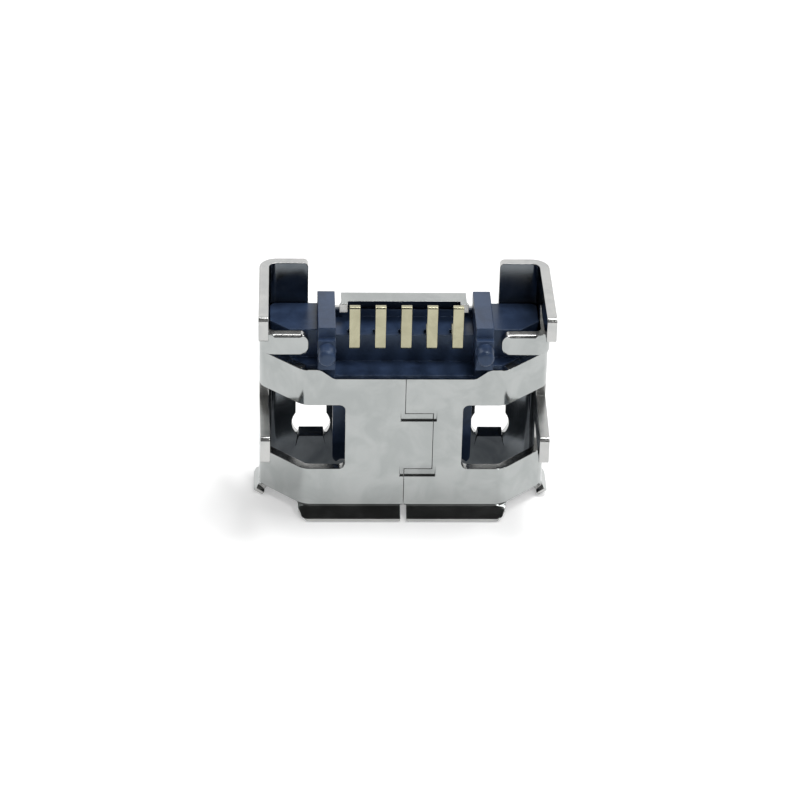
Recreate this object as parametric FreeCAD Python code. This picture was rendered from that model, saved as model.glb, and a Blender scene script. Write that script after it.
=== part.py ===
import FreeCAD, Part
import math
import os

# Micro receptacle with five contacts and four through-hole legs, in millimetres.
# The origin is the middle of the plug opening, on the plane of the flared lips.
# X runs across the mouth, Y away from the circuit board, Z from the mouth to the rear.

Vector = FreeCAD.Vector

# Plug opening, between the inner faces of the shell
opening_width = 6.9
opening_depth = 1.85
bevel_width = 0.97
bevel_depth = 0.90

# Sheet metal of the shell and its bends
sheet = 0.25
corner_radius = 0.20
bevel_radius = 0.15
fold_radius = 0.10

# Flared lips round the mouth; angles are measured from the wall
lip_length = 0.406
lip_flare = 52.0
side_lip_flare = 25.0
board_lip_width = 5.34
board_lip_taper = 0.10
wide_lip_width = 6.1
lip_corner_radius = 0.15
side_lip_corner_radius = 0.28

# Board-side plate, from the front fold, where the lips start, to its dipped rear edge
plate_length = 3.92
plate_dip_depth = 0.27
plate_dip_width = 3.60
plate_dip_slope = 0.36
plate_dip_radius = 0.20

# Windows in the bevels, the blanks from which the front legs are bent
window_start = 0.99
window_length = 1.90
window_spacing = 3.0
window_corner_radius = 0.16

# Legs in the planes of the side walls, reaching through the board
front_leg_offset = 0.72
front_leg_width = 0.76
front_leg_reach = 0.95
rear_leg_width = 0.69
rear_leg_reach = 0.85
leg_corner_radius = 0.12
front_leg_splay = -1.0
rear_leg_splay = 0.4

# Joint in the middle of the board-side plate, with its key and two stake marks
seam_gap = 0.03
seam_lip_gap = 0.15
seam_offset = 0.03
seam_key_start = 0.97
seam_key_length = 1.66
seam_key_width = 0.72
stake_width = 0.92
stake_length = 0.34
stake_depth = 0.06
stake_shift = 0.375

# Rear end of the shell; the rises count from the board-side plate's rear edge
lobe_width = 1.25
lobe_length = 1.39
lobe_corner_radius = 0.12
notch_rise = 0.58
notch_corner_radius = 0.15
tab_rise = 0.21
tab_width = 0.57
tab_length = 1.25
tab_corner_radius = 0.22
tab_bend_radius = 0.14
flap_rise = 0.37
flap_width = 3.22
flap_spread = 0.05
flap_reach = 0.55
lug_reach = 0.34
lug_width = 0.22

# Latch holes in the wide plate, each with a short spring tab in its round end
latch_spacing = 4.7
latch_height = 0.95
latch_radius = 0.53
latch_slot_width = 0.80
latch_slot_length = 1.20
latch_slot_radius = 0.12
spring_width = 0.57
spring_dip = 10.0
spring_overlap = 0.10

# Moulded insulator; depths are measured from the wide plate's inner face
base_start = 2.95
seat_gap = 0.02
shoulder_rise = 0.02
shoulder_depth = 1.42
post_rise = 0.35
post_width = 0.45
post_spacing = 3.99
post_depth = 1.95
rib_thickness = 0.13
floor_rise = 0.47
back_depth = 1.10
ledge_setback = 0.03

# Locating pegs, each on a pad of its post that stops just short of the board
peg_diameter = 0.44
peg_rise = 0.58
peg_reach = 0.42
peg_round = 0.10
pad_margin = 0.07
pad_gap = 0.03

# Tongue that carries the contacts
tongue_width = 3.60
tongue_start = 0.45
tongue_setback = 0.35
tongue_thickness = 0.60
tongue_tip_chamfer = 0.12
tongue_corner_radius = 0.20
tongue_root_step = 0.14
tongue_root_length = 0.55

# Contacts
contact_count = 5
contact_pitch = 0.65
contact_width = 0.27
contact_thickness = 0.15
contact_start = 0.80
contact_proud = 0.02
contact_bend_radius = 0.04
contact_gap = 0.01
riser_gap = 0.12
foot_length = 1.26
board_gap = 0.05

# Faces and heights that follow from the sizes above
inner_x = opening_width / 2
outer_x = inner_x + sheet
wide_inner_y = opening_depth / 2
wide_outer_y = wide_inner_y + sheet
narrow_inner_y = -opening_depth / 2
narrow_outer_y = narrow_inner_y - sheet
side_end_y = narrow_inner_y + bevel_depth
board_y = narrow_outer_y - board_gap
flare = math.radians(lip_flare)
fold_z = lip_length * math.cos(flare) + sheet * math.sin(flare)
wall_z = fold_z + fold_radius * math.tan(flare / 2)
plate_z = fold_z + plate_length
dip_z = plate_z - plate_dip_depth
tab_z = plate_z + tab_rise
shoulder_z = tab_z + tab_width + shoulder_rise
post_z = shoulder_z + post_rise
floor_z = plate_z + floor_rise
riser_z = floor_z + riser_gap
notch_z = plate_z + notch_rise
flap_z = notch_z + flap_rise
rear_z = notch_z + lobe_length
tab_inner_y = wide_inner_y - shoulder_depth
tongue_face_y = wide_inner_y - tongue_setback - tongue_thickness
past = 1.0


def in_space(plane, u, v, along):
    """Point (u, v) of a plane named by its two axes, at a distance along its normal."""
    if plane == "xy":
        return Vector(u, v, along)
    if plane == "xz":
        return Vector(u, along, v)
    return Vector(along, u, v)


def rounded_loop(plane, corners, along):
    """Closed wire through (u, v, radius) corners, each one rounded by its radius."""
    count = len(corners)
    entries = []
    for index, (u, v, radius) in enumerate(corners):
        here = Vector(u, v, 0)
        last = corners[index - 1]
        following = corners[(index + 1) % count]
        back = (Vector(last[0], last[1], 0) - here).normalize()
        forward = (Vector(following[0], following[1], 0) - here).normalize()
        half_turn = (math.pi - back.getAngle(forward)) / 2
        if radius <= 0 or half_turn < 1e-6:
            entries.append((here, None, here))
            continue
        trim = radius * math.tan(half_turn)
        bisector = (back + forward).normalize()
        middle = here + bisector * (radius / math.cos(half_turn) - radius)
        entries.append((here + back * trim, middle, here + forward * trim))
    edges = []
    for index, (start, middle, end) in enumerate(entries):
        points = [in_space(plane, p.x, p.y, along) for p in (entries[index - 1][2], start)]
        if (points[1] - points[0]).Length > 1e-6:
            edges.append(Part.LineSegment(*points).toShape())
        if middle is not None:
            arc = [in_space(plane, p.x, p.y, along) for p in (start, middle, end)]
            edges.append(Part.Arc(*arc).toShape())
    return Part.Wire(edges)


def prism(plane, corners, start, end):
    """Solid with a rounded outline in one plane, between two distances along its normal."""
    face = Part.Face(rounded_loop(plane, corners, start))
    direction = in_space(plane, 0, 0, end - start)
    return face.extrude(direction)


def block(x_range, y_range, z_range):
    """Box between two values on each axis."""
    low = Vector(min(x_range), min(y_range), min(z_range))
    high = Vector(max(x_range), max(y_range), max(z_range))
    size = high - low
    return Part.makeBox(size.x, size.y, size.z, low)


def mitred(before, here, after, distance):
    """Corner of the line that runs at a distance to the left of a bent line."""
    first = Vector(here[0] - before[0], here[1] - before[1], 0).normalize()
    second = Vector(after[0] - here[0], after[1] - here[1], 0).normalize()
    left_first = Vector(-first.y, first.x, 0)
    left_second = Vector(-second.y, second.x, 0)
    shift = (left_first + left_second) * (distance / (1 + left_first.dot(left_second)))
    turns_left = first.cross(second).z > 0
    return here[0] + shift.x, here[1] + shift.y, turns_left


def folded_outline(path, thickness, bend_radius):
    """Outline of a folded strip: one face follows path, the metal lies to the left of it."""
    near = [(path[0][0], path[0][1], 0)]
    far = []
    for before, here, after in zip(path, path[1:], path[2:]):
        u, v, turns_left = mitred(before, here, after, thickness)
        near_radius = bend_radius + thickness if turns_left else bend_radius
        far_radius = bend_radius if turns_left else bend_radius + thickness
        near.append((here[0], here[1], near_radius))
        far.append((u, v, far_radius))
    near.append((path[-1][0], path[-1][1], 0))
    ends = []
    for first, second, place in ((path[0], path[1], path[0]), (path[-2], path[-1], path[-1])):
        along = Vector(second[0] - first[0], second[1] - first[1], 0).normalize()
        ends.append((place[0] - along.y * thickness, place[1] + along.x * thickness, 0))
    far = [ends[0]] + far + [ends[1]]
    return near + far[::-1]


def folded_strip(plane, path, thickness, bend_radius, start, end):
    """Folded strip of one thickness, as wide as the two distances along the fold."""
    return prism(plane, folded_outline(path, thickness, bend_radius), start, end)


def mirrored(shape):
    """The same shape on the other side of the middle plane."""
    return shape.mirror(Vector(0, 0, 0), Vector(1, 0, 0))


def on_both_sides(shape):
    """A shape of the right half together with its mirror image."""
    return [shape, mirrored(shape)]


def section_corners(grow):
    """Corners of the opening's outline, moved outwards by grow, with their radii."""
    half_width = opening_width / 2
    half_depth = opening_depth / 2
    points = [
        (-half_width, half_depth, corner_radius),
        (-half_width, bevel_depth - half_depth, bevel_radius),
        (bevel_width - half_width, -half_depth, bevel_radius),
        (half_width - bevel_width, -half_depth, bevel_radius),
        (half_width, bevel_depth - half_depth, bevel_radius),
        (half_width, half_depth, corner_radius),
    ]
    corners = []
    for index, here in enumerate(points):
        after = points[(index + 1) % len(points)]
        u, v, _ = mitred(points[index - 1], here, after, -grow)
        corners.append((u, v, here[2] + grow))
    return corners


def sleeve():
    """The closed tube of sheet from which all of the shell's features are cut."""
    outside = prism("xy", section_corners(sheet), wall_z, rear_z)
    inside = prism("xy", section_corners(0), wall_z - past, rear_z + past)
    return outside.cut(inside)


def plate_lip(width, taper, outer_y, outwards):
    """Flared lip of the wide plate (outwards 1) or of the board-side plate (-1)."""
    tip_y = outer_y + outwards * lip_length * math.sin(flare)
    tip_z = fold_z - lip_length * math.cos(flare)
    path = [(outer_y, wall_z), (outer_y, fold_z), (tip_y, tip_z)]
    if outwards > 0:
        path.reverse()
    strip = folded_strip("yz", path, sheet, fold_radius, -width / 2, width / 2)
    tip = width / 2 - taper
    root = width / 2
    outline = [
        (-tip, 0, lip_corner_radius),
        (tip, 0, lip_corner_radius),
        (root, wall_z, 0),
        (-root, wall_z, 0),
    ]
    return strip.common(prism("xz", outline, -past * 3, past * 3))


def side_lip():
    """Flared lip of the right side wall."""
    angle = math.radians(side_lip_flare)
    length = (fold_z - sheet * math.sin(angle)) / math.cos(angle)
    tip = (outer_x + length * math.sin(angle), fold_z - length * math.cos(angle))
    path = [tip, (outer_x, fold_z), (outer_x, wall_z)]
    low_y = side_end_y
    high_y = wide_inner_y - corner_radius
    strip = folded_strip("xz", path, sheet, fold_radius, low_y, high_y)
    outline = [
        (low_y, 0, side_lip_corner_radius),
        (high_y, 0, side_lip_corner_radius),
        (high_y, wall_z, 0),
        (low_y, wall_z, 0),
    ]
    return strip.common(prism("yz", outline, inner_x - past, outer_x + past))


def rear_edge_cut():
    """What is missing behind the board-side plate, down to its dipped rear edge."""
    dip = plate_dip_width / 2
    wing = dip + plate_dip_slope
    side = outer_x + past
    top = rear_z + past
    outline = [
        (-side, plate_z, 0),
        (-wing, plate_z, plate_dip_radius),
        (-dip, dip_z, plate_dip_radius),
        (dip, dip_z, plate_dip_radius),
        (wing, plate_z, plate_dip_radius),
        (side, plate_z, 0),
        (side, top, 0),
        (-side, top, 0),
    ]
    return prism("xz", outline, narrow_outer_y - past, side_end_y)


def window():
    """Opening through the right bevel and the plate beside it."""
    low = fold_z + window_start
    high = low + window_length
    inner = window_spacing / 2
    outline = [
        (inner, low, window_corner_radius),
        (outer_x + past, low, 0),
        (outer_x + past, high, 0),
        (inner, high, window_corner_radius),
    ]
    return prism("xz", outline, narrow_outer_y - past, side_end_y)


def leg(low, width, reach, splay):
    """Right-hand leg below the side wall, bent outwards by its splay, inwards if that is negative."""
    tip_y = narrow_outer_y - reach
    root_y = side_end_y + sheet
    tip_x = outer_x + (side_end_y - tip_y) * math.tan(math.radians(splay))
    path = [(tip_x, tip_y), (outer_x, side_end_y), (outer_x, root_y)]
    strip = folded_strip("xy", path, sheet, fold_radius, low, low + width)
    outline = [
        (tip_y, low, leg_corner_radius),
        (root_y, low, 0),
        (root_y, low + width, 0),
        (tip_y, low + width, leg_corner_radius),
    ]
    return strip.common(prism("yz", outline, inner_x - past, tip_x + past))


def legs():
    """Front and rear legs of both side walls."""
    low = fold_z + window_start + front_leg_offset
    front = leg(low, front_leg_width, front_leg_reach, front_leg_splay)
    rear = leg(rear_z - rear_leg_width, rear_leg_width, rear_leg_reach, rear_leg_splay)
    return on_both_sides(front) + on_both_sides(rear)


def holding_tab():
    """Tab folded from the right side wall over the insulator's shoulder."""
    outer_y = tab_inner_y - sheet
    low = tab_z
    high = low + tab_width
    end_x = outer_x - tab_length
    path = [(end_x, outer_y), (outer_x, outer_y), (outer_x, side_end_y + sheet)]
    strip = folded_strip("xy", path, sheet, tab_bend_radius, low, high)
    outline = [
        (end_x, low, tab_corner_radius),
        (outer_x, low, 0),
        (outer_x, high, 0),
        (end_x, high, tab_corner_radius),
    ]
    return strip.common(prism("xz", outline, outer_y - past, side_end_y + past))


def rear_flap():
    """Flap of the wide plate, folded over the rear of the insulator, with two end lugs."""
    root_z = notch_z - sheet
    tip_y = wide_outer_y - flap_reach
    lug_y = tip_y - lug_reach
    path = [(wide_outer_y, root_z), (wide_outer_y, flap_z), (lug_y, flap_z)]
    half = flap_width / 2
    wide_half = half + flap_spread
    strip = folded_strip("yz", path, sheet, fold_radius, -wide_half, wide_half)
    outline = [
        (half, wide_outer_y, 0),
        (wide_half, lug_y, 0),
        (wide_half - lug_width, lug_y, 0),
        (wide_half - lug_width, tip_y, 0),
        (lug_width - wide_half, tip_y, 0),
        (lug_width - wide_half, lug_y, 0),
        (-wide_half, lug_y, 0),
        (-half, wide_outer_y, 0),
    ]
    return strip.common(prism("xy", outline, root_z, flap_z))


def wide_rear_cut():
    """Space above the wide plate's rear edge, between the two rear lobes."""
    half = outer_x - lobe_width
    side = outer_x + past
    outline = [
        (-half, notch_z, notch_corner_radius),
        (half, notch_z, notch_corner_radius),
        (half, rear_z, lobe_corner_radius),
        (side, rear_z, 0),
        (side, rear_z + past, 0),
        (-side, rear_z + past, 0),
        (-side, rear_z, 0),
        (-half, rear_z, lobe_corner_radius),
    ]
    return prism("xz", outline, side_end_y, wide_outer_y + past)


def latch_hole():
    """Right latch hole: a round end towards the mouth and a slot towards the rear."""
    x = latch_spacing / 2
    z = fold_z + latch_height
    half = latch_slot_width / 2
    depth = sheet + 2 * past
    hole = Part.makeCylinder(latch_radius, depth, Vector(x, wide_inner_y - past, z), Vector(0, 1, 0))
    outline = [
        (x - half, z, 0),
        (x + half, z, 0),
        (x + half, z + latch_slot_length, latch_slot_radius),
        (x - half, z + latch_slot_length, latch_slot_radius),
    ]
    return hole.fuse(prism("xz", outline, wide_inner_y - past, wide_outer_y + past))


def latch_spring():
    """Short spring tab in the right latch hole, rooted towards the mouth and dipping in."""
    x = latch_spacing / 2
    bend_z = fold_z + latch_height - latch_radius + spring_overlap
    end_z = fold_z + latch_height
    root_z = bend_z - 2 * spring_overlap
    dip = math.tan(math.radians(spring_dip)) * (end_z - bend_z)
    path = [(wide_outer_y, root_z), (wide_outer_y, bend_z), (wide_outer_y - dip, end_z)]
    half = spring_width / 2
    return folded_strip("yz", path, sheet, fold_radius, x - half, x + half)


def seam():
    """Gap between the two edges of the sheet, stepping round the locking key."""
    low = fold_z + seam_key_start
    high = low + seam_key_length
    key_x = seam_offset + seam_key_width
    route = [
        (seam_offset, plate_z),
        (seam_offset, high),
        (key_x, high),
        (key_x, low),
        (seam_offset, low),
        (seam_offset, 0),
    ]
    half = seam_gap / 2
    y_range = (narrow_outer_y - past, narrow_inner_y + sheet)
    cuts = []
    for (x1, z1), (x2, z2) in zip(route, route[1:]):
        x_range = (min(x1, x2) - half, max(x1, x2) + half)
        z_range = (min(z1, z2) - half, max(z1, z2) + half)
        cuts.append(block(x_range, y_range, z_range))
    half_lip = seam_lip_gap / 2
    lip_x = (seam_offset - half_lip, seam_offset + half_lip)
    cuts.append(block(lip_x, y_range, (-past, fold_z)))
    return cuts


def stake_marks():
    """Two shallow wedge-shaped marks struck across the ends of the key."""
    marks = []
    key_low = fold_z + seam_key_start
    for z in (key_low, key_low + seam_key_length):
        low = z - stake_length / 2
        high = z + stake_length / 2
        outline = [
            (narrow_outer_y - sheet, low, 0),
            (narrow_outer_y + stake_depth, low, 0),
            (narrow_outer_y, high, 0),
            (narrow_outer_y - sheet, high, 0),
        ]
        x = stake_shift
        marks.append(prism("yz", outline, x - stake_width / 2, x + stake_width / 2))
    return marks


def shell():
    """The whole shell: one piece of sheet, cut, folded and joined at its seam."""
    body = sleeve().cut(on_both_sides(window()) + [rear_edge_cut(), wide_rear_cut()])
    folded = [
        plate_lip(wide_lip_width, 0, wide_outer_y, 1),
        plate_lip(board_lip_width, board_lip_taper, narrow_outer_y, -1),
        rear_flap(),
    ]
    folded += on_both_sides(side_lip()) + on_both_sides(holding_tab()) + legs()
    body = body.fuse(folded)
    body = body.cut(on_both_sides(latch_hole()) + seam() + stake_marks())
    return body.fuse(on_both_sides(latch_spring())).removeSplitter()


def insulator_body():
    """Moulded block that fills the shell behind the plug space, with its stepped rear."""
    ledge_z = dip_z - ledge_setback
    back_y = wide_inner_y - seat_gap
    wall_y = wide_inner_y - back_depth
    post_in = (post_spacing - post_width) / 2
    base = prism("xy", section_corners(-seat_gap), fold_z + base_start, plate_z)
    recess = block((-post_in, post_in), (narrow_outer_y, wide_outer_y), (ledge_z, plate_z))
    back = block((-post_in, post_in), (wall_y, back_y), (ledge_z, floor_z))
    rib_z = flap_z - sheet - seat_gap
    rib = prism("yz", [
        (back_y - rib_thickness, ledge_z, 0),
        (back_y, ledge_z, 0),
        (back_y, rib_z, min(fold_radius, rib_thickness * 0.9)),
        (back_y - rib_thickness, rib_z, 0),
    ], -post_in, post_in)
    steps = [back, rib]
    for right in (shoulder(), post(), locating_peg()):
        steps += on_both_sides(right)
    return base.cut(recess).fuse(steps)


def shoulder():
    """Right shoulder of the moulding, under the holding tab."""
    side = inner_x - seat_gap
    inner = (post_spacing - post_width) / 2
    front_y = tab_inner_y + seat_gap
    back_y = wide_inner_y - seat_gap
    outline = [
        (inner, front_y, 0),
        (side, front_y, tab_bend_radius),
        (side, back_y, corner_radius - seat_gap),
        (inner, back_y, 0),
    ]
    return prism("xy", outline, plate_z, shoulder_z)


def post():
    """Right post of the moulding, which stands proud of the board-side plate's edge."""
    x_range = ((post_spacing - post_width) / 2, (post_spacing + post_width) / 2)
    edge_y = narrow_inner_y + seat_gap
    front_z = plate_z + seat_gap
    pad_z = plate_z + peg_rise + peg_diameter / 2 + pad_margin
    back = block(x_range, (edge_y, wide_inner_y - seat_gap), (plate_z, post_z))
    front = block(x_range, (wide_inner_y - post_depth, edge_y), (front_z, post_z))
    pad = block(x_range, (board_y + pad_gap, edge_y), (front_z, pad_z))
    return back.fuse([front, pad])


def locating_peg():
    """Right locating peg, which stands on its post and enters the board."""
    root_y = board_y + 2 * pad_gap
    start = Vector(post_spacing / 2, root_y, plate_z + peg_rise)
    length = root_y - board_y + peg_reach
    peg = Part.makeCylinder(peg_diameter / 2, length, start, Vector(0, -1, 0))
    tip = min(peg.Edges, key=lambda edge: edge.CenterOfMass.y)
    return peg.makeFillet(min(peg_round, peg_diameter * 0.4), [tip])


def tongue():
    """Tongue that reaches into the plug, thicker at its root, with a chamfered tip."""
    front = fold_z + tongue_start
    root = fold_z + base_start
    high_y = tongue_face_y + tongue_thickness
    half = tongue_width / 2
    outline = [
        (tongue_face_y, front + tongue_tip_chamfer, 0),
        (tongue_face_y + tongue_tip_chamfer, front, 0),
        (high_y - tongue_tip_chamfer, front, 0),
        (high_y, front + tongue_tip_chamfer, 0),
        (high_y, root - tongue_root_length, 0),
        (high_y + tongue_root_step, root - tongue_root_length + tongue_root_step, 0),
        (high_y + tongue_root_step, root, 0),
        (tongue_face_y, root, 0),
    ]
    plan = [
        (-half, front, tongue_corner_radius),
        (half, front, tongue_corner_radius),
        (half, root, 0),
        (-half, root, 0),
    ]
    body = prism("yz", outline, -half, half)
    return body.common(prism("xz", plan, tongue_face_y - past, high_y + past))


def contact_centres():
    """Places across the mouth of the contacts, evenly spaced about the middle."""
    first = -(contact_count - 1) * contact_pitch / 2
    return [first + index * contact_pitch for index in range(contact_count)]


def contact_channel(x):
    """Groove in the tongue and passage through the insulator for the contact at x."""
    half = contact_width / 2 + contact_gap
    low_y = tongue_face_y - contact_proud - contact_gap
    high_y = tongue_face_y - contact_proud + contact_thickness + contact_gap
    z_range = (fold_z + contact_start - contact_gap, floor_z + contact_gap)
    return block((x - half, x + half), (low_y, high_y), z_range)


def insulator():
    """The whole moulding, with the channels for its contacts."""
    body = insulator_body().fuse(tongue())
    return body.cut([contact_channel(x) for x in contact_centres()]).removeSplitter()


def contact(x):
    """One contact: blade on the tongue, riser towards the board and solder foot."""
    face_y = tongue_face_y - contact_proud
    path = [
        (board_y, riser_z + foot_length),
        (board_y, riser_z),
        (face_y, riser_z),
        (face_y, fold_z + contact_start),
    ]
    half = contact_width / 2
    return folded_strip("yz", path, contact_thickness, contact_bend_radius, x - half, x + half)


def parts():
    """Every sub-part by its name."""
    made = {"shell": shell(), "insulator": insulator()}
    for index, x in enumerate(contact_centres()):
        made[f"contact_{index + 1}"] = contact(x)
    return made


def single_solid(shape):
    """The one solid that a shape consists of."""
    solids = shape.Solids
    if len(solids) != 1:
        raise ValueError(f"expected one solid, found {len(solids)}")
    return solids[0]


def main():
    """Write one STEP file for each sub-part."""
    os.makedirs("parts", exist_ok=True)
    for name, shape in parts().items():
        solid = single_solid(shape)
        solid.exportStep(f"parts/{name}.step")
        box = solid.BoundBox
        print(f"{name}: {solid.Volume:.4f} mm3, valid {solid.isValid()}, "
              f"x {box.XMin:.3f} {box.XMax:.3f}, y {box.YMin:.3f} {box.YMax:.3f}, "
              f"z {box.ZMin:.3f} {box.ZMax:.3f}")


main()
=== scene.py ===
import logging
import math
from dataclasses import dataclass
from enum import Enum
from typing import Callable, Sequence

import bmesh
import bpy
from mathutils import Matrix, Vector


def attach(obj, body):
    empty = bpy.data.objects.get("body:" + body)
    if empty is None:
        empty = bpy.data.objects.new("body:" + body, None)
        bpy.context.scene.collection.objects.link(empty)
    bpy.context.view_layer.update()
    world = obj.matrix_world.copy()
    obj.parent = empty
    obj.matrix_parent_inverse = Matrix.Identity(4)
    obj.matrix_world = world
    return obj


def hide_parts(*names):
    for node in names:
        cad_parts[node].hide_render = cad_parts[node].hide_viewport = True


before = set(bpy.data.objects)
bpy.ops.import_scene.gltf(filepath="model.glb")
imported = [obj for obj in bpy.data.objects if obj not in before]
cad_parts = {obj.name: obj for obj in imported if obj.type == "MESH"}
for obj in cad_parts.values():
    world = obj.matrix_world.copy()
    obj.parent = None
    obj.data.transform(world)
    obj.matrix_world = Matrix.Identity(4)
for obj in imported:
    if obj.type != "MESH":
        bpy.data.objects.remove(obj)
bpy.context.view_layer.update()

# Dressed model of a micro receptacle for a circuit board. It stands on its flared mouth, with
# its board side towards the camera. Pieces are shaped in millimetres and brought to metres at
# the end, because their finest roundings are a hundredth of a millimetre.

log = logging.getLogger("socket")

MM = 0.001
CONTACTS = 5
CONTACT_PITCH = 0.65
# Share of a unit vector's length from which it counts as lying along an axis
ALONG = 0.9
Pair = tuple[float, float]
Triple = tuple[float, float, float]
Test = Callable[[Vector, Vector], bool]
Material = bpy.types.Material
NodeTree = bpy.types.NodeTree


class Pick(Enum):
    """Kinds of mesh element that can be selected on the bench."""

    VERTS = "VERT"
    EDGES = "EDGE"
    FACES = "FACE"


class Join(Enum):
    """What a second solid does to the one on the bench."""

    CUT = "DIFFERENCE"
    FUSE = "UNION"


def near(value: float, target: float, within: float = 0.004) -> bool:
    """Say whether two lengths are the same within a few micrometres."""
    return abs(value - target) < within


def at(middle: Vector, y: float, z: float) -> bool:
    """Say whether an element's middle lies at a place of Y and Z."""
    return near(middle.y, y) and near(middle.z, z)


def between(value: float, low: float, high: float) -> bool:
    """Say whether a length lies between two others."""
    return low < value < high


def deselect_all() -> None:
    """Leave edit mode and clear the selection."""
    if bpy.context.object is not None and bpy.context.object.mode != "OBJECT":
        bpy.ops.object.mode_set(mode="OBJECT")
    bpy.ops.object.select_all(action="DESELECT")


class Bench:
    """One mesh under work, in millimetres, shaped with the operators of edit mode."""

    def __init__(self, name: str) -> None:
        """Take the primitive that has just been added, and name it."""
        self.obj = bpy.context.object
        self.obj.name = name
        self.obj.data.name = name
        bpy.ops.object.transform_apply(location=True, rotation=True, scale=True)

    @classmethod
    def box(cls, name: str, low: Triple, high: Triple) -> "Bench":
        """Add a box between its lowest and its highest corner.

        Args:
            name: name of the piece.
            low: lowest corner.
            high: highest corner.

        Returns:
            The bench with the box on it.
        """
        deselect_all()
        centre = [(a + b) / 2 for a, b in zip(low, high)]
        size = [b - a for a, b in zip(low, high)]
        bpy.ops.mesh.primitive_cube_add(size=1, location=centre, scale=size)
        return cls(name)

    @classmethod
    def round_bar(cls, name: str, centre: Triple, radius: float, depth: float) -> "Bench":
        """Add a round bar that lies along Y.

        Args:
            name: name of the piece.
            centre: middle of the bar.
            radius: radius of the bar.
            depth: length of the bar.

        Returns:
            The bench with the bar on it.
        """
        deselect_all()
        bpy.ops.mesh.primitive_cylinder_add(
            vertices=40, radius=radius, depth=depth, location=centre, rotation=(math.pi / 2, 0, 0)
        )
        return cls(name)

    def edit(self) -> None:
        """Bring the piece into edit mode."""
        if self.obj.mode != "EDIT":
            deselect_all()
            self.obj.select_set(True)
            bpy.context.view_layer.objects.active = self.obj
            bpy.ops.object.mode_set(mode="EDIT")

    def pick(self, kind: Pick, test: Test | None = None) -> int:
        """Select the elements that pass a test, or all of them without one.

        Args:
            kind: the kind of element.
            test: called with an element's middle and its normal, or an edge's direction.

        Returns:
            The number of selected elements.
        """
        self.edit()
        bpy.ops.mesh.select_mode(type=kind.value)
        bpy.ops.mesh.select_all(action="DESELECT")
        mesh = bmesh.from_edit_mesh(self.obj.data)
        count = 0
        groups = {Pick.VERTS: mesh.verts, Pick.EDGES: mesh.edges, Pick.FACES: mesh.faces}
        for element in groups[kind]:
            if kind is Pick.EDGES:
                first, second = (vert.co for vert in element.verts)
                middle, way = (first + second) / 2, (second - first).normalized()
            else:
                middle = element.co if kind is Pick.VERTS else element.calc_center_median()
                way = element.normal
            if test is None or test(middle, way):
                element.select_set(True)
                count += 1
        mesh.select_flush_mode()
        bmesh.update_edit_mesh(self.obj.data)
        return count

    def span(self, axis: int) -> Pair:
        """Return the lowest and the highest place of the selected points along an axis."""
        verts = bmesh.from_edit_mesh(self.obj.data).verts
        places = [vert.co[axis] for vert in verts if vert.select]
        return min(places), max(places)

    def bisect(self, point: Triple, normal: Triple, test: Test | None = None,
               clear: bool = False) -> None:
        """Cut faces along a plane; clear removes what the normal points to and closes the cut."""
        if self.pick(Pick.FACES, test):
            bpy.ops.mesh.bisect(
                plane_co=point, plane_no=normal, clear_outer=clear, use_fill=clear, threshold=1e-5
            )

    def slice(self, axis: int, place: float, test: Test | None = None) -> None:
        """Cut the faces that pass a test, or all, across the axis with this number."""
        normal = [float(number == axis) for number in range(3)]
        self.bisect([place * part for part in normal], normal, test)

    def extrude(self, shift: Triple) -> None:
        """Extrude what is selected by a shift."""
        bpy.ops.mesh.extrude_region_move(TRANSFORM_OT_translate={"value": tuple(shift)})

    def move(self, shift: Triple, test: Test) -> None:
        """Move the points that pass a test by a shift."""
        self.pick(Pick.VERTS, test)
        bpy.ops.transform.translate(value=tuple(shift))

    def scale(self, factors: Triple, centre: Triple = (0, 0, 0)) -> None:
        """Scale what is selected about a centre."""
        bpy.ops.transform.resize(value=tuple(factors), center_override=tuple(centre))

    def bevel(self, width: float, segments: int, test: Test, kind: Pick = Pick.EDGES) -> None:
        """Round the edges, or the corner points of an outline, that pass a test."""
        if self.pick(kind, test):
            bpy.ops.mesh.bevel(
                offset=width, offset_type="OFFSET", segments=segments, profile=0.5,
                affect="VERTICES" if kind is Pick.VERTS else "EDGES", clamp_overlap=False,
            )

    def dress(self, number: int) -> None:
        """Give the selected faces the material slot with this number."""
        self.obj.active_material_index = number
        bpy.ops.object.material_slot_assign()

    def remove(self, test: Test) -> None:
        """Delete the faces that pass a test."""
        self.pick(Pick.FACES, test)
        bpy.ops.mesh.delete(type="FACE")

    def clean(self, angle: float = 0.5) -> None:
        """Merge doubles and dissolve lines that bend by less than an angle in degrees."""
        self.pick(Pick.VERTS)
        bpy.ops.mesh.remove_doubles(threshold=0.001)
        bpy.ops.mesh.dissolve_limited(angle_limit=math.radians(angle))

    def face_out(self) -> None:
        """Turn all faces outwards."""
        self.pick(Pick.FACES)
        bpy.ops.mesh.normals_make_consistent(inside=False)

    def modify(self, kind: str, **settings: object) -> None:
        """Add a modifier of a kind with its settings, and apply it."""
        deselect_all()
        self.obj.select_set(True)
        bpy.context.view_layer.objects.active = self.obj
        modifier = self.obj.modifiers.new(kind.title(), kind)
        for name, value in settings.items():
            setattr(modifier, name, value)
        bpy.ops.object.modifier_apply(modifier=modifier.name)

    def paint(self, *materials: Material) -> None:
        """Give the piece its material slots, in order."""
        for material in materials:
            self.obj.data.materials.append(material)

    def thicken(self, thickness: float, inner_slot: int = 0) -> None:
        """Thicken an open sheet on its inner side; its cut edges take the second slot."""
        self.modify(
            "SOLIDIFY", thickness=thickness, offset=-1.0, use_even_offset=True,
            use_quality_normals=True, material_offset=inner_slot, material_offset_rim=1,
        )

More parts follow.
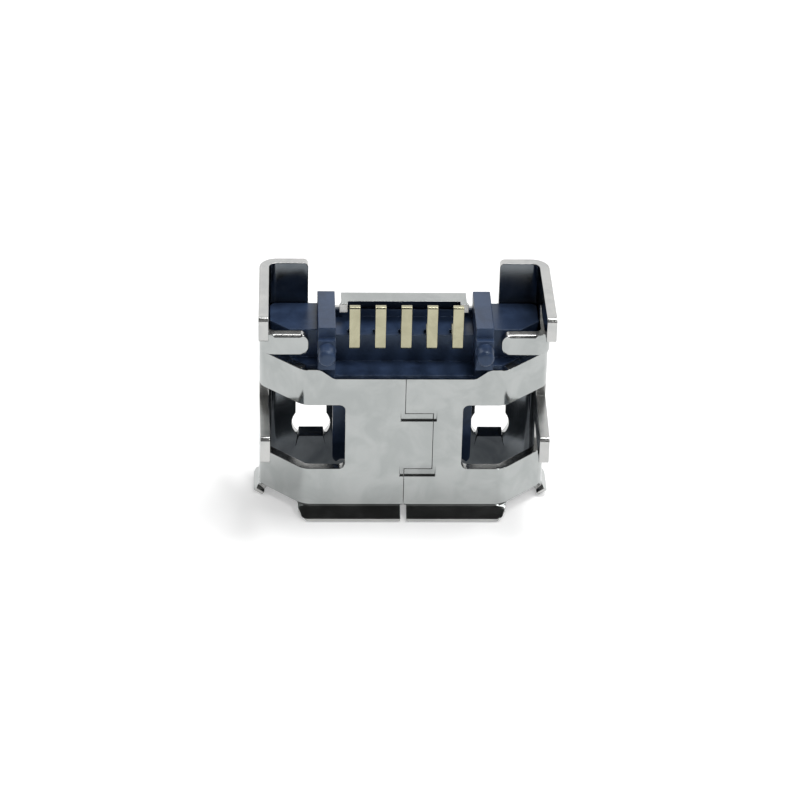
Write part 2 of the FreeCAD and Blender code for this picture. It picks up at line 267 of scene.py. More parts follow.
    def combine(self, others: Sequence["Bench"], join: Join) -> None:
        """Cut other solids out of this one, or fuse them with it; they are used up."""
        for other in others:
            self.modify(
                "BOOLEAN", operation=join.value, object=other.obj, solver="EXACT",
                material_mode="TRANSFER",
            )
            bpy.data.objects.remove(other.obj, do_unlink=True)

    def soften(self, width: float, segments: int = 2, angle: float = 38.0) -> None:
        """Round all edges sharper than an angle a little, as stamping and moulding leave them."""
        self.modify(
            "BEVEL", width=width, segments=segments, limit_method="ANGLE",
            angle_limit=math.radians(angle), use_clamp_overlap=False,
        )

    def finish(self, node: str, slot: str) -> None:
        """Bring the piece to metres, shade it and put it in the CAD node's place.

        Args:
            node: the CAD node that the piece stands for.
            slot: the record's material slot of its finish; not used.
        """
        self.pick(Pick.VERTS)
        bpy.ops.mesh.remove_doubles(threshold=0.0005)
        self.face_out()
        self.modify("TRIANGULATE", min_vertices=5)
        bpy.ops.object.shade_smooth_by_angle(angle=math.radians(50))
        self.modify("WEIGHTED_NORMAL", mode="FACE_AREA", weight=100, keep_sharp=True)
        bpy.ops.transform.resize(value=(MM, MM, MM), center_override=(0, 0, 0))
        bpy.ops.object.transform_apply(location=True, rotation=True, scale=True)
        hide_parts(node)
        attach(self.obj, "root")
        log.info("%s: %d faces", self.obj.name, len(self.obj.data.polygons))


class Shader:
    """Short ways to put nodes into a material, a world or a group."""

    def __init__(self, tree: NodeTree) -> None:
        """Start from an empty tree."""
        self.tree = tree
        tree.nodes.clear()

    def add(self, kind: str, inputs: dict[str | int, object] | None = None,
            **settings: object) -> bpy.types.Node:
        """Add a node, set its values and link what is already there.

        Args:
            kind: the node's type, without ShaderNode.
            inputs: for each input, a plain value or the socket that feeds it.
            settings: values of the node's own properties.

        Returns:
            The new node.
        """
        node = self.tree.nodes.new(kind if kind.startswith("NodeGroup") else f"ShaderNode{kind}")
        for name, value in settings.items():
            setattr(node, name, value)
        self.feed(node, inputs or {})
        return node

    def feed(self, node: bpy.types.Node, inputs: dict[str | int, object]) -> None:
        """Give a node's inputs their plain values, or link the sockets that feed them."""
        for key, value in inputs.items():
            if isinstance(value, bpy.types.NodeSocket):
                self.tree.links.new(value, node.inputs[key])
            else:
                node.inputs[key].default_value = value


def surface_cloud() -> NodeTree:
    """Build the shared group for the faint clouds and the fine grain of a surface.

    Returns:
        The node group, with a cloud value and a height that joins the clouds and the grain.
    """
    group = bpy.data.node_groups.new("surface_cloud", "ShaderNodeTree")
    shader = Shader(group)
    sockets = {
        "INPUT": ("Place", "Cloud Scale", "Grain Scale", "Grain Share"),
        "OUTPUT": ("Cloud", "Height"),
    }
    for way, names in sockets.items():
        for name in names:
            kind = "NodeSocketVector" if name == "Place" else "NodeSocketFloat"
            group.interface.new_socket(name=name, in_out=way, socket_type=kind)
    source = shader.add("NodeGroupInput").outputs
    cloud = shader.add("TexNoise", {
        "Vector": source["Place"], "Scale": source["Cloud Scale"], "Detail": 4.0,
        "Roughness": 0.55, "Distortion": 0.8,
    })
    spread = shader.add("MapRange", {
        "Value": cloud.outputs["Fac"], "From Min": 0.32, "From Max": 0.68,
    }, interpolation_type="SMOOTHSTEP")
    grain = shader.add("TexNoise", {
        "Vector": source["Place"], "Scale": source["Grain Scale"], "Detail": 2.0,
    })
    height = shader.add("Mix", {
        0: source["Grain Share"], 2: spread.outputs["Result"], 3: grain.outputs["Fac"],
    })
    shader.add("NodeGroupOutput", {"Cloud": spread.outputs["Result"], "Height": height.outputs[0]})
    return group


@dataclass(frozen=True)
class Finish:
    """One finish of the socket, painted by clouds between two tones; lengths in millimetres."""

    name: str
    dark: Triple
    light: Triple
    smooth: float
    rough: float
    cloud_scale: float
    grain_scale: float
    grain_share: float
    relief: float
    metallic: float = 1.0
    specular: float = 0.5
    tint: Triple = (1.0, 1.0, 1.0)

    def material(self, cloud: NodeTree) -> Material:
        """Build the material with the shared group of clouds and grain."""
        material = bpy.data.materials.new(self.name)
        material.use_nodes = True
        shader = Shader(material.node_tree)
        place = shader.add("TexCoord").outputs["Object"]
        group = shader.add("Group", node_tree=cloud)
        shader.feed(group, {
            "Place": place, "Cloud Scale": self.cloud_scale, "Grain Scale": self.grain_scale,
            "Grain Share": self.grain_share,
        })
        tone = shader.add("Mix", {
            0: group.outputs["Cloud"], 6: (*self.dark, 1.0), 7: (*self.light, 1.0),
        }, data_type="RGBA")
        rough = shader.add("MapRange", {
            "Value": group.outputs["Height"], "To Min": self.smooth, "To Max": self.rough,
        })
        bump = shader.add("Bump", {
            "Strength": 1.0, "Distance": self.relief * MM, "Height": group.outputs["Height"],
        })
        surface = shader.add("BsdfPrincipled", {
            "Base Color": tone.outputs[2], "Roughness": rough.outputs["Result"],
            "Metallic": self.metallic, "Specular IOR Level": self.specular,
            "Specular Tint": (*self.tint, 1.0), "Normal": bump.outputs["Normal"],
        })
        shader.add("OutputMaterial", {"Surface": surface.outputs["BSDF"]})
        return material


NICKEL = Finish(
    "satin_nickel", dark=(0.345, 0.362, 0.358), light=(0.405, 0.421, 0.416),
    smooth=0.09, rough=0.17, cloud_scale=1300.0, grain_scale=9000.0, grain_share=0.2, relief=0.001,
)
SHEARED = Finish(
    "sheared_edge", dark=(0.44, 0.445, 0.44), light=(0.51, 0.51, 0.50),
    smooth=0.20, rough=0.28, cloud_scale=1800.0, grain_scale=14000.0, grain_share=0.3,
    relief=0.0003,
)
# Darker copy of the same nickel, with the shade inside the sleeve painted into its colour; used on
# the inner faces, the springs and the flap's end.
NICKEL_WITH_PAINTED_SHADE = Finish(
    "nickel_painted_shade", dark=(0.10, 0.113, 0.126), light=(0.165, 0.18, 0.193),
    smooth=0.12, rough=0.22, cloud_scale=1100.0, grain_scale=9000.0, grain_share=0.2, relief=0.001,
)
PLASTIC = Finish(
    "dark_moulding", dark=(0.018, 0.032, 0.070), light=(0.033, 0.056, 0.115), metallic=0.0,
    smooth=0.26, rough=0.40, cloud_scale=1500.0, grain_scale=16000.0, grain_share=0.6, relief=0.003,
    specular=0.40, tint=(0.75, 0.88, 1.0),
)
GOLD = Finish(
    "pale_gold", dark=(0.355, 0.34, 0.235), light=(0.43, 0.412, 0.29),
    smooth=0.16, rough=0.26, cloud_scale=1800.0, grain_scale=15000.0, grain_share=0.3,
    relief=0.0015,
)

# Normal of the slanting corners of the sleeve and of the base, on the right side
SLANT = (0.6802, -0.7331)


def slanted_box(name: str, low: Triple, high: Triple, reach: float) -> Bench:
    """Make a box whose two corners on the board side are cut off by slanting planes.

    Args:
        name: name of the piece.
        low: lowest corner of the box.
        high: highest corner of the box.
        reach: distance of the slanting planes from the middle.

    Returns:
        The bench with the box on it.
    """
    bench = Bench.box(name, low, high)
    across, inwards = SLANT
    for side in (-1, 1):
        point = (side * across * reach, inwards * reach, 0)
        bench.bisect(point, (side * across, inwards, 0), clear=True)
    return bench


@dataclass
class Shell:
    """The folded sheet: a sleeve with flared lips, windows, legs, tabs, flap and lobes."""

    half_width: float = 3.70
    half_depth: float = 1.175
    sheet: float = 0.25
    slant_reach: float = 2.6150
    slant_trim: float = 0.174
    corner_trim: float = 0.45
    front_z: float = 0.347
    rear_z: float = 6.337
    lip_way: Pair = (0.788, 0.616)
    lip_length: float = 0.40
    lip_radius: float = 0.15
    side_lip_way: Pair = (0.5736, 0.8192)
    side_lip_length: float = 0.27
    side_lip_taper: float = -0.10
    lip_foot: float = 0.018
    wide_lip_half: float = 3.05
    board_lip_half: float = 2.706
    board_lip_taper: float = 0.08
    board_lip_y: float = -1.056
    side_lip_low: float = -0.12
    side_lip_inset: float = 0.06
    fold_trim: float = 0.049
    fold_spare: float = 0.012
    plate_z: float = 4.367
    window_half: float = 1.50
    window_low: float = 1.437
    window_high: float = 3.337
    wall_edge: float = 0.040
    notch_z: float = 4.947
    notch_half: float = 2.45
    lobe_lean: float = 0.04
    flap_z: float = 5.405
    flap_bend: float = 0.20
    flap_half: float = 1.61
    flap_tip: float = 0.56
    flap_undercut: float = 0.12
    lug_tip: float = 0.40
    lug_width: float = 0.17
    lug_spread: float = 0.05
    tab_low: float = 4.577
    tab_high: float = 5.147
    tab_face: float = -0.745
    tab_end: float = 2.45
    tab_bend: float = 0.39
    tab_drop: float = 0.01
    tab_edge: float = 0.09
    front_leg: Triple = (2.157, 2.917, -2.110)
    rear_leg: Triple = (5.647, 6.337, -2.010)
    front_splay: float = -1.0
    rear_splay: float = 0.4
    leg_root: float = 0.12
    dip: Triple = (1.80, 2.16, 0.27)
    plate_edge: Pair = (0.02, -0.11)
    plate_rear: Pair = (4.0, 4.45)
    seam_half_gap: float = 0.004
    lip_half_gap: float = 0.075
    seam_x: float = 0.03
    key: Triple = (0.75, 1.417, 3.077)
    stake_x: Pair = (-0.085, 0.835)
    stake_half: float = 0.17
    stake_depth: float = 0.06
    stake_slope: float = 0.182
    latch: Triple = (2.35, 1.54, 0.50)
    spring_half: float = 0.40
    spring_y: Pair = (0.932, 1.171)
    spring_root: float = 0.80
    spring_end: float = 1.36
    spring_dip: float = 0.12
    spring_taper: float = 0.80
    spring_slope: float = 0.16
    slot_half: float = 0.40
    slot_top: float = 2.597
    edge_round: float = 0.014

    def is_board(self, m: Vector, n: Vector) -> bool:
        """Say whether a face is in the board-side plate."""
        return n.y < -ALONG

    def is_slant(self, m: Vector, n: Vector) -> bool:
        """Say whether a face is in one of the slanting corners."""
        return n.y < -0.5 and abs(n.x) > 0.5

    def is_side(self, m: Vector, n: Vector) -> bool:
        """Say whether a face is in a side wall."""
        return abs(n.x) > ALONG

    def is_wide(self, m: Vector, n: Vector) -> bool:
        """Say whether a face is in the wide plate."""
        return n.y > ALONG

    def blank(self) -> Bench:
        """Fold the sleeve's flat sides, with the cells of the windows and the rear removed."""
        bench = slanted_box(
            "shell_sheet", (-self.half_width, -self.half_depth, self.front_z),
            (self.half_width, self.half_depth, self.rear_z), self.slant_reach,
        )
        bench.remove(lambda m, n: abs(n.z) > ALONG)
        bench.face_out()
        for z in (self.window_low, self.window_high, self.plate_z):
            bench.slice(2, z, lambda m, n: n.y < -0.5)
        for z in (self.window_low, self.window_high, self.plate_z, self.tab_low, self.tab_high,
                  self.front_leg[0], self.front_leg[1], self.rear_leg[0]):
            bench.slice(2, z, self.is_side)
        for side in (-1, 1):
            bench.slice(0, side * self.window_half, self.is_board)
            for x in (self.wide_lip_half, self.notch_half, self.flap_half):
                bench.slice(0, side * x, self.is_wide)
        bench.slice(1, self.wall_edge, self.is_side)
        bench.slice(2, self.notch_z, self.is_wide)
        bench.remove(self.is_opening)
        low, high, depth = self.dip
        for x in (-high, -low, low, high):
            bench.slice(0, x, lambda m, n: n.y < -ALONG and m.z > self.window_high)
        bench.move((0, 0, -depth), lambda m, n: at(m, -self.half_depth, self.plate_z)
                   and abs(m.x) < low + 0.01)
        return bench

    def is_opening(self, m: Vector, n: Vector) -> bool:
        """Say whether a cell of the blank belongs to a window or is missing at the rear."""
        in_window = between(m.z, self.window_low, self.window_high)
        behind = m.z > self.plate_z
        if self.is_wide(m, n):
            return m.z > self.notch_z and abs(m.x) < self.notch_half
        if self.is_side(m, n):
            return m.y < self.wall_edge and (in_window or behind)
        if self.is_slant(m, n):
            return in_window or behind
        return behind or (in_window and abs(m.x) > self.window_half)

    def pick_wall(self, bench: Bench, side: int, low: float, high: float) -> None:
        """Select a stretch of a side wall's free edge, on the left for -1, the right for 1."""
        bench.pick(Pick.EDGES, lambda m, d: near(m.x, side * self.half_width)
                   and near(m.y, self.wall_edge) and between(m.z, low, high) and abs(d.z) > ALONG)

    def add_legs(self, bench: Bench) -> None:
        """Draw the four legs out of the side walls' free edges, each with its splay."""
        legs = ((self.front_leg, self.front_splay), (self.rear_leg, self.rear_splay))
        for side in (-1, 1):
            for (low, high, tip), splay in legs:
                self.pick_wall(bench, side, low, high)
                bench.extrude((0, -self.leg_root, 0))
                reach = self.wall_edge - self.leg_root - tip
                bench.extrude((side * reach * math.tan(math.radians(splay)), -reach, 0))

    def add_tabs(self, bench: Bench) -> None:
        """Draw the two holding tabs out of the side walls, still with sharp folds."""
        for side in (-1, 1):
            self.pick_wall(bench, side, self.tab_low, self.tab_high)
            bench.extrude((0, self.tab_face - self.wall_edge, 0))
            bench.extrude((side * (self.tab_end - self.half_width), 0, 0))

    def add_flap(self, bench: Bench) -> None:
        """Draw the rear flap out of the wide plate, with its two end lugs."""
        bench.pick(Pick.EDGES, lambda m, d: at(m, self.half_depth, self.notch_z)
                   and abs(m.x) < self.flap_half and abs(d.x) > ALONG)
        bench.extrude((0, 0, self.flap_z - self.notch_z))
        bench.extrude((0, self.flap_tip - self.half_depth, 0))
        lug_x = self.flap_half - self.lug_width
        for side in (-1, 1):
            bench.slice(0, side * lug_x, lambda m, n: near(m.z, self.flap_z))
        bench.pick(Pick.EDGES, lambda m, d: at(m, self.flap_tip, self.flap_z) and abs(m.x) > lug_x)
        bench.extrude((0, self.lug_tip - self.flap_tip, 0))
        for side in (-1, 1):
            bench.move((side * self.lug_spread, 0, 0), lambda m, n: at(m, self.lug_tip, self.flap_z)
                       and near(m.x, side * self.flap_half))

    def fold(self, bench: Bench) -> None:
        """Round the folds of the sleeve, the tabs and the flap, and lean the lobes inwards."""
        bench.clean()
        across, inwards = SLANT
        slant_y = (self.slant_reach - across * self.half_width) / inwards
        slant_x = (self.slant_reach + inwards * self.half_depth) / across
        bench.bevel(self.slant_trim, 7, lambda m, d: abs(d.z) > ALONG and (
            (near(m.y, -self.half_depth) and near(abs(m.x), slant_x))
            or (near(abs(m.x), self.half_width) and near(m.y, slant_y))))
        corner, tab = (self.corner_trim, 12, self.half_depth), (self.tab_bend, 10, self.tab_face)
        for trim, steps, y in (corner, tab):
            bench.bevel(trim, steps, lambda m, d: abs(d.z) > ALONG and near(m.y, y)
                        and near(abs(m.x), self.half_width))
        bench.bevel(self.flap_bend, 10, lambda m, d: abs(d.x) > ALONG
                    and at(m, self.half_depth, self.flap_z))
        bench.slice(2, self.notch_z, lambda m, n: m.y > 0.5)
        bench.move((0, -self.lobe_lean, 0), lambda m, n: near(m.z, self.rear_z) and m.y > 0.5)

    def draw_lip(self, bench: Bench, root: Test, way: Triple, length: float, along: int,
                 taper: float) -> None:
        """Draw one lip out of its root edges, row by row, so that its corners come out round.

        Args:
            bench: the shell under work.
            root: says which edges of the front are the lip's root.
            way: direction of the lip, of length one.
            length: how far the lip reaches.
            along: axis along the lip's root, 0 for X and 1 for Y.
            taper: how much narrower each end is at the tip.
        """
        radius = self.lip_radius
        bench.pick(Pick.EDGES, lambda m, d: near(m.z, self.front_z) and root(m, d))
        low, high = bench.span(along)
        middle = [0.0, 0.0, 0.0]
        middle[along] = (low + high) / 2
        half = width = (high - low) / 2
        reach = self.fold_trim + self.fold_spare
        bench.extrude([reach * part for part in way])
        across = 1 - along
        face = self.half_width if across == 0 else self.half_depth
        side = 1 if way[across] > 0 else -1
        level = [0.0, 0.0, 0.0]
        level[across] = side * face + reach * way[across]
        flat = [1.0, 1.0, 1.0]
        flat[across] = 0.0
        bench.scale(flat, level)
        for step in range(5):
            turn = math.radians(90 * step / 4)
            new_reach = length - radius + radius * math.sin(turn)
            new_width = half - taper - radius + radius * math.cos(turn)
            bench.extrude([(new_reach - reach) * part for part in way])
            factors = [1.0, 1.0, 1.0]
            factors[along] = new_width / width
            bench.scale(factors, middle)
            width, reach = new_width, new_reach

    def flare(self, bench: Bench) -> None:
        """Draw the four flared lips out of the front edge and round their folds."""
        out, drop = self.lip_way
        side_out, side_drop = self.side_lip_way
        high = self.half_depth - self.corner_trim
        inset = self.half_width - self.side_lip_inset

        length, taper = self.side_lip_length, self.side_lip_taper
        lips = (
            (lambda m, d: near(m.y, self.half_depth) and abs(m.x) < self.wide_lip_half,
             (0, out, -drop), self.lip_length, 0, 0.0),
            (lambda m, d: m.y < self.board_lip_y and abs(m.x) < self.board_lip_half,
             (0, -out, -drop), self.lip_length, 0, self.board_lip_taper),
            (lambda m, d: m.x < -inset and between(m.y, self.side_lip_low, high),
             (-side_out, 0, -side_drop), length, 1, taper),
            (lambda m, d: m.x > inset and between(m.y, self.side_lip_low, high),
             (side_out, 0, -side_drop), length, 1, taper),
        )
        for side in (-1, 1):
            bench.slice(0, side * self.wide_lip_half, self.is_wide)
        for lip in lips:
            self.draw_lip(bench, *lip)
        bench.bevel(self.fold_trim, 6, lambda m, d: near(m.z, self.front_z)
                    and any(root(m, d) for root, *_ in lips))

    def level_lips(self, bench: Bench) -> None:
        """Level the lips' undersides on the table, and stand the long lips' tips upright."""
        out, drop = self.lip_way
        tip_y = self.half_depth + self.lip_length * out
        inner_y = tip_y - self.sheet * drop - 0.005
        for side in (-1, 1):
            bench.pick(Pick.VERTS, lambda m, n: m.z < self.lip_foot and side * m.y > inner_y)
            bench.scale((1, 0, 1), (0, side * tip_y, 0))
        bench.pick(Pick.VERTS, lambda m, n: m.z < self.lip_foot)
        bench.scale((1, 1, 0), (0, 0, self.lip_foot))

    def round_corners(self, bench: Bench) -> None:
        """Round the corners of the sheet's outline, as the punch leaves them."""
        tips = (self.front_leg[2], self.rear_leg[2])
        places = (
            (0.12, lambda m: near(m.y, tips[0]) or near(m.y, tips[1])),
            (0.22, lambda m: near(abs(m.x), self.tab_end) and near(m.y, self.tab_face)),
            (0.16, lambda m: near(abs(m.x), self.window_half) and near(m.y, -self.half_depth)
             and (near(m.z, self.window_low) or near(m.z, self.window_high))),
            (0.12, lambda m: near(abs(m.x), self.notch_half) and near(m.z, self.rear_z)),
            (0.15, lambda m: near(abs(m.x), self.notch_half) and near(m.z, self.notch_z)),
            (0.067, lambda m: near(m.y, -self.half_depth) and m.z > self.window_high + 0.1
             and abs(m.x) < 2.2),
        )
        for radius, test in places:
            bench.bevel(radius, 6, lambda m, n: test(m), Pick.VERTS)

    def seam_cutters(self) -> list[Bench]:
        """Make the thin blocks that part the sheet along its stepped seam."""
        half = self.seam_half_gap
        seam_x = self.seam_x
        key_x, low, high = self.key
        below = -0.3
        runs = (
            ((seam_x, seam_x), (high, self.rear_z)), ((seam_x, key_x), (high, high)),
            ((key_x, key_x), (low, high)), ((seam_x, key_x), (low, low)),
            ((seam_x, seam_x), (below, low)),
        )
        cutters = [
            Bench.box("seam", (x1 - half, -1.7, z1 - half), (x2 + half, -0.8, z2 + half))
            for (x1, x2), (z1, z2) in runs
        ]
        gap = self.lip_half_gap
        cutters.append(
            Bench.box("seam", (seam_x - gap, -1.9, below), (seam_x + gap, -0.6, self.front_z))
        )
        return cutters

    def stake_cutters(self) -> list[Bench]:
        """Make the two wedges that are struck across the ends of the key."""
        cutters = []
        low, high = self.stake_x
        face, half = -self.half_depth, self.stake_half
        for z in self.key[1:]:
            cutter = Bench.box("stake", (low, face - 0.2, z - half),
                               (high, face + self.stake_depth, z + half))
            cutter.move((0, -self.stake_depth, 0), lambda m, n: m.z > z and m.y > face)
            cutter.move((0, 0, -self.stake_slope), lambda m, n: m.z < z and m.y < face)
            cutters.append(cutter)
        return cutters

    def latch_cutters(self, side: int) -> list[Bench]:
        """Make the round end and the slot of one latch hole."""
        x, z, radius = self.latch
        hole = Bench.round_bar("latch", (side * x, self.half_depth - 0.1, z), radius, 0.7)
        slot = Bench.box("slot", (side * x - self.slot_half, 0.7, z),
                         (side * x + self.slot_half, 1.5, self.slot_top))
        slot.bevel(0.12, 5, lambda m, d: abs(d.y) > ALONG and near(m.z, self.slot_top))
        return [hole, slot]

    def spring(self, side: int) -> Bench:
        """Make the short tab that dips into one latch hole, wider at its root than at its end."""
        x, end, half = side * self.latch[0], self.spring_end, self.spring_half
        low, high = self.spring_y
        tab = Bench.box("spring", (x - half, low, self.spring_root), (x + half, high, end))
        tab.move((0, -self.spring_dip, 0), lambda m, n: near(m.z, end))
        tab.scale((self.spring_taper, 1, 1), (x, 0, 0))
        tab.move((0, 0, -self.spring_slope), lambda m, n: near(m.z, end) and m.y < low)
        return tab

    def dress_edges(self, bench: Bench) -> None:
        """Shape the cut edges at the rear: the undercut flap, the tabs and the plate."""
        # The flap's end faces take slot 2, the darker nickel that paints shade on them.
        bench.pick(Pick.FACES, lambda m, n: n.y < -ALONG and between(m.y, 0.3, 0.7)
                   and between(m.z, 5.0, self.flap_z) and abs(m.x) < self.flap_half - 0.18)
        bench.dress(2)
        low = self.flap_z - self.sheet
        bench.move((0, self.flap_undercut, 0), lambda m, n: near(m.z, low, 0.02)
                   and between(m.y, 0.45, 0.65) and abs(m.x) < self.flap_half - 0.16)
        bench.move((0, 0, -self.tab_drop), lambda m, n: at(m, self.tab_face, self.tab_high))
        rise, turn = self.plate_edge
        bench.move((0, 0, rise), lambda m, n: m.y < -self.half_depth + 0.01
                   and between(m.z, *self.plate_rear))
        bench.move((0, 0, turn), lambda m, n: near(m.y, self.sheet - self.half_depth, 0.03)
                   and between(m.z, *self.plate_rear))
        bench.bevel(self.tab_edge, 5, lambda m, d: abs(d.x) > ALONG
                    and at(m, self.tab_face, self.tab_high - self.tab_drop))

    def build(self, nickel: Material, sheared: Material, inner: Material) -> None:
        """Make the whole shell.

        Args:
            nickel: finish of the sheet's outer faces.
            sheared: finish of its cut edges.
            inner: darker copy of the nickel, with painted shade, for its inner faces, the springs
                and the flap's end.
        """
        bench = self.blank()
        self.add_legs(bench)
        self.add_tabs(bench)
        self.add_flap(bench)
        self.fold(bench)
        self.flare(bench)
        bench.clean()
        self.round_corners(bench)
        bench.face_out()
        # Slot 2, the darker nickel with painted shade, goes on the sheet's inner faces.
        bench.paint(nickel, sheared, inner)
        bench.thicken(self.sheet, 2)
        self.level_lips(bench)
        self.dress_edges(bench)
        latches = self.latch_cutters(1) + self.latch_cutters(-1)
        seams = self.seam_cutters()
        springs = [self.spring(1), self.spring(-1)]
        stakes = self.stake_cutters()
        # The springs take the darker nickel with painted shade.
        for others, finish in ((latches + seams, sheared), (springs, inner), (stakes, nickel)):
            for other in others:
                other.paint(finish)
        bench.combine(latches, Join.CUT)
        bench.combine(springs, Join.FUSE)
        bench.combine(stakes + seams, Join.CUT)
        bench.clean()
        bench.soften(self.edge_round)
        bench.finish("shell", "shell_metal")


@dataclass
class Insulator:
    """The dark moulding: base, stepped rear, posts with locating pegs, and the tongue."""

    half_width: float = 3.43
    half_depth: float = 0.905
    slant_reach: float = 2.345
    corner_trim: float = 0.18
    slant_trim: float = 0.056
    front_z: float = 3.397
    levels: tuple[float, ...] = (4.067, 4.367, 4.837, 5.047, 5.167, 5.517)
    post_in: float = 1.77
    post_out: float = 2.22
    wall_y: float = -0.175
    rib_y: float = 0.775
    shoulder_y: float = -0.475
    post_front: float = -1.025
    pad_front: float = -1.195
    pad_low: float = 4.387
    pad_high: float = 5.237
    peg_z: float = 4.947
    peg_x: float = 1.995
    peg_tip: float = -1.645
    peg_radius: float = 0.22
    peg_round: float = 0.10
    peg_sink: float = 0.06
    tongue_half: float = 1.80
    tongue_low: float = -0.025
    tongue_high: float = 0.575
    tongue_root: float = 0.41
    tongue_step: float = 0.14
    tongue_tip: float = 0.897
    tip_radius: float = 0.20
    tip_chamfer: float = 0.12
    channel_half: float = 0.145
    channel: tuple[float, float, float, float] = (-0.055, 0.115, 1.237, 4.847)
    edge_round: float = 0.022

    def at_level(self, level: int, middle: Vector, normal: Vector) -> bool:
        """Say whether a top face is drawn up to the given level.

        Args:
            level: number of the level, from 1 for the lowest step.
            middle: the face's middle.
            normal: the face's normal.

        Returns:
            Whether the face goes up.
        """
        if normal.z < ALONG or not near(middle.z, self.levels[level - 1]):
            return False
        across = abs(middle.x)
        if across > self.post_out:
            reached = 4 if middle.y > self.shoulder_y else 1
        elif across > self.post_in:
            reached = 5
        elif middle.y < self.wall_y:
            reached = 0
        else:
            reached = 3 if middle.y > self.rib_y else 2
        return level <= reached

    def stepped_base(self) -> Bench:
        """Make the base in the shape of the sleeve and draw its rear up in steps."""
        bench = slanted_box(
            "insulator_moulding", (-self.half_width, -self.half_depth, self.front_z),
            (self.half_width, self.half_depth, self.levels[0]), self.slant_reach,
        )
        bench.bevel(self.corner_trim, 6, lambda m, d: abs(d.z) > ALONG and m.y > 0)
        bench.bevel(self.slant_trim, 4, lambda m, d: abs(d.z) > ALONG and m.y < 0.1)
        for x in (-self.post_out, -self.post_in, self.post_in, self.post_out):
            bench.slice(0, x)
        for y in (self.shoulder_y, self.wall_y, self.rib_y):
            bench.slice(1, y, lambda m, n: n.z > ALONG)
        for level in range(1, len(self.levels)):
            if bench.pick(Pick.FACES, lambda m, n: self.at_level(level, m, n)):
                bench.extrude((0, 0, self.levels[level] - self.levels[level - 1]))
        return bench

    def draw_posts(self, bench: Bench) -> None:
        """Draw the posts and their pads forward from the stepped rear."""
        def is_post(m: Vector, n: Vector, low: float) -> bool:
            """Say whether a face is in a post's front, above a level."""
            return (n.y < -ALONG and near(m.y, -self.half_depth)
                    and between(abs(m.x), self.post_in, self.post_out) and m.z > low)

        for z in (self.pad_low, self.pad_high):
            bench.slice(2, z, lambda m, n: is_post(m, n, self.levels[1]))
        bench.pick(Pick.FACES, lambda m, n: is_post(m, n, self.pad_low))
        bench.extrude((0, self.post_front + self.half_depth, 0))
        bench.pick(Pick.FACES, lambda m, n: n.y < -ALONG and near(m.y, self.post_front)
                   and m.z < self.pad_high)
        bench.extrude((0, self.pad_front - self.post_front, 0))

    def draw_tongue(self, bench: Bench) -> None:
        """Draw the tongue out of the base's front, with its thicker root and chamfered tip."""
        high = self.tongue_high + self.tongue_step
        for side in (-1, 1):
            bench.slice(0, side * self.tongue_half, lambda m, n: n.z < -ALONG)
        for y in (self.tongue_low, high):
            bench.slice(1, y, lambda m, n: n.z < -ALONG and abs(m.x) < self.tongue_half)
        bench.pick(Pick.FACES, lambda m, n: n.z < -ALONG and abs(m.x) < self.tongue_half
                   and between(m.y, self.tongue_low, high))
        root, step = self.front_z - self.tongue_root, self.tongue_step
        bench.extrude((0, 0, root - self.front_z))
        bench.extrude((0, 0, -step))
        bench.move((0, -step, 0), lambda m, n: at(m, high, root - step))
        bench.pick(Pick.FACES, lambda m, n: n.z < -ALONG and near(m.z, root - step))
        bench.extrude((0, 0, self.tongue_tip - root + step))
        bench.clean()
        tip = self.tongue_tip
        bench.bevel(self.tip_radius, 6, lambda m, d: abs(d.y) > ALONG and near(m.z, tip))
        bench.bevel(self.tip_chamfer, 1, lambda m, d: abs(d.x) > ALONG and near(m.z, tip))

    def peg(self, side: int) -> Bench:
        """Make one locating peg with its rounded end."""
        root = self.pad_front + self.peg_sink
        depth = root - self.peg_tip
        centre = (side * self.peg_x, root - depth / 2, self.peg_z)
        bar = Bench.round_bar("peg", centre, self.peg_radius, depth)
        bar.bevel(self.peg_round, 5, lambda m, d: near(m.y, self.peg_tip))
        return bar

    def channel_cutter(self, x: float) -> Bench:
        """Make the block that leaves room for the contact at x."""
        low_y, high_y, low_z, high_z = self.channel
        half = self.channel_half
        return Bench.box("channel", (x - half, low_y, low_z), (x + half, high_y, high_z))

    def build(self, plastic: Material, places: Sequence[float]) -> None:
        """Make the whole moulding.

        Args:
            plastic: its finish.
            places: where the contacts run, across the mouth.
        """
        bench = self.stepped_base()
        self.draw_posts(bench)
        self.draw_tongue(bench)
        bench.clean()
        bench.face_out()
        bench.paint(plastic)
        bench.combine([self.peg(1), self.peg(-1)], Join.FUSE)
        bench.combine([self.channel_cutter(x) for x in places], Join.CUT)
        bench.clean()
        bench.soften(self.edge_round)
        bench.finish("insulator", "black_moulding")


